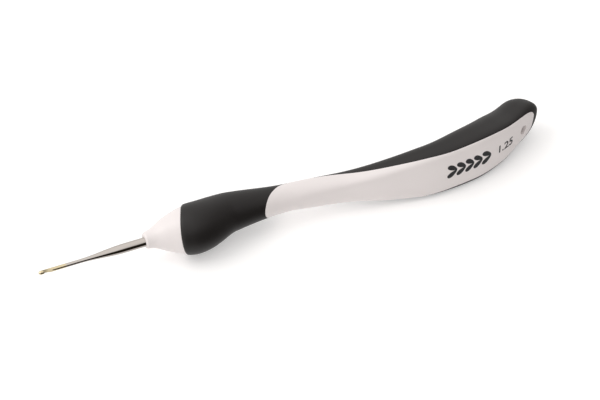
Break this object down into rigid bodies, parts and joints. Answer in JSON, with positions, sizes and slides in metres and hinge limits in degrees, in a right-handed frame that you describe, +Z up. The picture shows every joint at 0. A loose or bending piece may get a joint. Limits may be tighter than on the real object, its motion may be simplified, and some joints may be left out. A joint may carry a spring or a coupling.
{
  "type": "crochet hook",
  "caption": "Slim steel crochet hook with a gold-tipped needle in an S-curved two-part soft-grip handle, flat white belly and hanging hole.",
  "frame": {"origin": "bottom centre of the box of the hook lying on its side", "axes": "+X from the hook's tip towards the handle's tail, along the needle; +Z up, square to the plane that the handle bends in; -Y is the side of the white belly face and of the hook's mouth"},
  "size_m": [0.1708, 0.0214, 0.0163],
  "materials": {
    "steel": "nickel-plated polished steel, with a gold-plated tip",
    "white_plastic": "satin moulded white plastic",
    "black_grip": "matt soft-touch black elastomer"
  },
  "bodies": {
    "root": {"hook_needle": "steel", "handle_core": "white_plastic", "soft_grip": "black_grip"}
  },
  "joints": []
}
